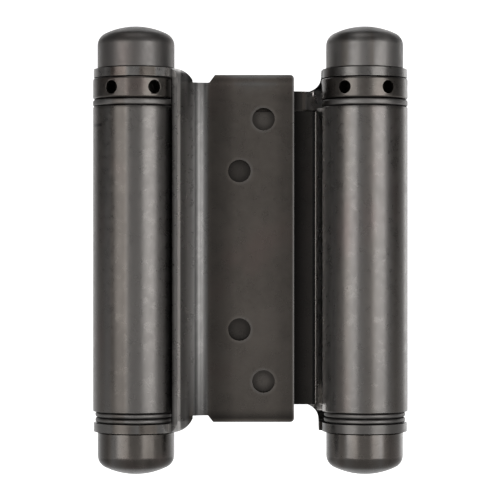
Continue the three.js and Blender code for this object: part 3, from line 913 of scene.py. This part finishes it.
class HINGE_OT_leaves(bpy.types.Operator):
    """Break the edges of the two folded leaves and cut slopes beside their notches"""

    bl_idname = "hinge.leaves"
    bl_label = "Leaves"

    # Foot and top of each slope as [across, height], and the front of the wedge, in millimetres.
    door_slopes = (((-9.0, 36.84), (-7.75, 38.5)), ((-9.95, -36.3), (-8.36, -37.7)))
    jamb_slopes = (((-8.7, 36.4), (-7.1, 38.5)), ((-9.6, -35.8), (-7.9, -37.7)))
    wedge_start = -12.0
    wedge_depth = 13 * MM
    wedge_width = 1.0 * MM
    wedge_reach = 1.4  # of the length of a slope, so that the wedge ends outside the leaf
    flat_angle = math.radians(0.8)  # triangles that turn by less are one flat face

    def execute(self, context):
        self.leaf(context, "door_leaf", door_leaf_painted_light, self.door_slopes)
        self.leaf(context, "jamb_leaf", jamb_leaf_painted_light, self.jamb_slopes)
        return {"FINISHED"}

    def leaf(self, context, node, depth, slopes):
        source = frame["nodes"][node]
        piece = bpy.data.objects.new(f"{node}_plate", source.data.copy())
        context.scene.collection.objects.link(piece)
        edit(piece)
        bpy.ops.mesh.select_all(action="SELECT")
        bpy.ops.mesh.remove_doubles(threshold=MERGE_DISTANCE)
        bpy.ops.mesh.customdata_custom_splitnormals_clear()
        bpy.ops.mesh.dissolve_limited(angle_limit=self.flat_angle)
        done()
        break_edges(piece, context.scene.hinge_sizes.edge_break)
        for foot, top in slopes:
            self.slope(piece, foot, top)
        smooth(piece)
        finished(piece, node, leaf_finish(f"plated_{node}", depth))

    def slope(self, piece, foot, top):
        """Cuts a corner beside a notch back to a slope between two points, [across, height]."""
        foot, top = (
            Vector((across, self.wedge_start, height)) * MM for across, height in (foot, top))
        beyond = foot + (top - foot) * self.wedge_reach
        aside = foot - Vector((self.wedge_width, 0, 0))
        corners = (aside, foot, beyond, Vector((aside.x, aside.y, beyond.z)))
        wedge = trace("wedge", corners)
        bpy.ops.mesh.edge_face_add()
        pull(Vector((0, self.wedge_depth, 0)))
        tidy_normals()
        done()
        modified(piece, "BOOLEAN", operation="DIFFERENCE", object=wedge, solver="EXACT")
        bpy.data.objects.remove(wedge)


class HINGE_OT_caps(bpy.types.Operator):
    """Turn the four acorn caps"""

    bl_idname = "hinge.caps"
    bl_label = "Caps"

    inset = 1.0 * MM
    corner = 2.9 * MM
    crown = 4.2 * MM
    foot = 0.3 * MM
    bore = 2.7 * MM
    bore_depth = 5.3 * MM
    foot_steps = 4
    corner_steps = 10
    crown_steps = 16
    ends = (  # which end, its painted streaks of light and shade, and how much duller than the tubes its caps are
        ("top", top_cap_painted_light, 0.14),
        ("bottom", bottom_cap_painted_light, -0.06),
    )

    def profile(self, foot, height):
        """From the bore to the top of the crown. The height is negative for a cap at the bottom."""
        sign = math.copysign(1, height)
        tall = abs(height)
        radius = barrel_radius() - self.inset
        reach = radius - self.corner
        # Radius of the crown, which runs into the round of the corner without an edge.
        sphere = (reach ** 2 + self.crown ** 2 - self.corner ** 2) / (
            2 * (self.crown - self.corner))
        spread = math.degrees(math.asin(reach / (sphere - self.corner)))
        points = [(0, self.bore_depth), (self.bore, self.bore_depth), (self.bore, 0)]
        points += arc(radius - self.foot, self.foot, self.foot, -90, 0, self.foot_steps)
        points += arc(reach, tall - self.crown, self.corner, 0, 90 - spread, self.corner_steps)
        points += arc(0, tall - sphere, sphere, 90 - spread, 90, self.crown_steps)[1:]
        return [(max(across, 0), foot + sign * up) for across, up in points]

    def execute(self, context):
        for end, depth, duller in self.ends:
            material = barrel_finish(f"plated_{end}_cap", depth, duller)
            for side in SIDES:
                node = f"{side}_{end}_cap"
                low, high = heights(node)
                foot, height = (low, high - low) if end == "top" else (high, low - high)
                piece = turned(
                    f"{side}_{end}_acorn_cap", axis_of(side), self.profile(foot, height))
                smooth(piece)
                finished(piece, node, material)
        return {"FINISHED"}


class HINGE_OT_collars(bpy.types.Operator):
    """Turn the two tension collars and drill their radial holes"""

    bl_idname = "hinge.collars"
    bl_label = "Tension Collars"

    ring_height = 4.6 * MM
    hub_clearance = 0.45 * MM
    bore = 2.8 * MM
    edge_round = 0.45 * MM
    hole_depth = 3.6 * MM
    hole_facets = 40
    hole_break = 0.1 * MM
    first_hole = {"door_side": 28, "jamb_side": 30}  # degrees from straight ahead

    def execute(self, context):
        sizes = context.scene.hinge_sizes
        # bore_depth gives the collars painted shade inside their holes and painted light on their
        # flanks.
        material = barrel_finish("plated_collar", bore_depth)
        for side in SIDES:
            node = f"{side}_tension_collar"
            low, high = heights(node)
            radius = barrel_radius()
            hub = radius - sizes.sheet - self.hub_clearance
            ring = high - self.ring_height
            rim = rounded_rim(radius, ring, high, self.edge_round)
            profile = [(self.bore, low), (hub, low), (hub, ring), *rim, (self.bore, high)]
            piece = turned(f"{side}_collar", axis_of(side), profile + profile[:1])
            middle_height = (ring + high) / 2
            for index in range(sizes.collar_holes):
                turn = math.radians(
                    self.first_hole[side] - 90 + 360 * index / sizes.collar_holes)
                self.drill(piece, axis_of(side), turn, middle_height, radius, sizes.hole_radius)
            break_edges(piece, self.hole_break, segments=2)
            smooth(piece)
            finished(piece, node, material)
        return {"FINISHED"}

    def drill(self, piece, axis, turn, height, radius, hole_radius):
        outwards = Vector((math.cos(turn), math.sin(turn), 0))
        deselect()
        bpy.ops.mesh.primitive_cylinder_add(
            vertices=self.hole_facets, radius=hole_radius, depth=2 * self.hole_depth,
            location=axis + outwards * radius + Vector((0, 0, height)),
            rotation=outwards.to_track_quat("Z", "Y").to_euler())
        drill = begin("drill")
        modified(piece, "BOOLEAN", operation="DIFFERENCE", object=drill, solver="EXACT")
        bpy.data.objects.remove(drill)


class HINGE_OT_washers(bpy.types.Operator):
    """Turn the washers above and below each tube"""

    bl_idname = "hinge.washers"
    bl_label = "Washers"

    edge_round = 0.4 * MM
    duller = 0.16
    bores = {
        "top_washer": 7.3 * MM,
        "bottom_washer_upper": 2.8 * MM,
        "bottom_washer_lower": 2.8 * MM,
    }

    def execute(self, context):
        material = barrel_finish("plated_washer", washer_painted_light, self.duller)
        for side in SIDES:
            for place, bore in self.bores.items():
                node = f"{side}_{place}"
                low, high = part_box(node)
                rim = rounded_rim((high.y - low.y) / 2, low.z, high.z, self.edge_round)
                profile = [(bore, low.z), *rim, (bore, high.z), (bore, low.z)]
                piece = turned(f"{side}_{place}_ring", axis_of(side), profile)
                smooth(piece)
                finished(piece, node, material)
        return {"FINISHED"}


class HINGE_OT_works(bpy.types.Operator):
    """Give the spindles, anchors and springs their steel"""

    bl_idname = "hinge.works"
    bl_label = "Spindles and Springs"

    plain_colour = (0.45, 0.44, 0.42)
    spring_colour = (0.09, 0.09, 0.095)

    def execute(self, context):
        plain = steel("plain_steel_drawn", self.plain_colour, roughness=0.36)
        spring = steel(
            "spring_steel_wire", self.spring_colour, roughness=0.42, along=(1, 1, 1))
        for side in SIDES:
            for place, material in (
                    ("spindle", plain), ("spring_anchor", plain), ("torsion_spring", spring)):
                node = frame["nodes"][f"{side}_{place}"]
                node.data.materials.clear()
                node.data.materials.append(material)
        return {"FINISHED"}


OPERATORS = (
    HINGE_OT_stage,
    HINGE_OT_web,
    HINGE_OT_leaves,
    HINGE_OT_caps,
    HINGE_OT_collars,
    HINGE_OT_washers,
    HINGE_OT_works,
)


class HINGE_PT_sidebar(bpy.types.Panel):
    """Lists the pieces of the hinge"""

    bl_idname = "HINGE_PT_sidebar"
    bl_label = "Spring Hinge"
    bl_space_type = "VIEW_3D"
    bl_region_type = "UI"
    bl_category = "Spring Hinge"

    def draw(self, context):
        layout = self.layout
        for group in (context.scene.hinge_sizes, context.scene.hinge_finish):
            column = layout.column()
            for name in group.__annotations__:
                column.prop(group, name)
        for operator in OPERATORS:
            layout.operator(operator.bl_idname)


CLASSES = (HingeSizes, HingeFinish, *OPERATORS, HINGE_PT_sidebar)


def register():
    for cls in CLASSES:
        bpy.utils.register_class(cls)
    bpy.types.Scene.hinge_sizes = PointerProperty(type=HingeSizes)
    bpy.types.Scene.hinge_finish = PointerProperty(type=HingeFinish)


def unregister():
    del bpy.types.Scene.hinge_finish
    del bpy.types.Scene.hinge_sizes
    for cls in reversed(CLASSES):
        bpy.utils.unregister_class(cls)


def main():
    register()
    for operator in OPERATORS:
        group, name = operator.bl_idname.split(".")
        if getattr(getattr(bpy.ops, group), name)() != {"FINISHED"}:
            raise RuntimeError(f"{operator.bl_label} was not finished")


if __name__ == "__main__":
    main()
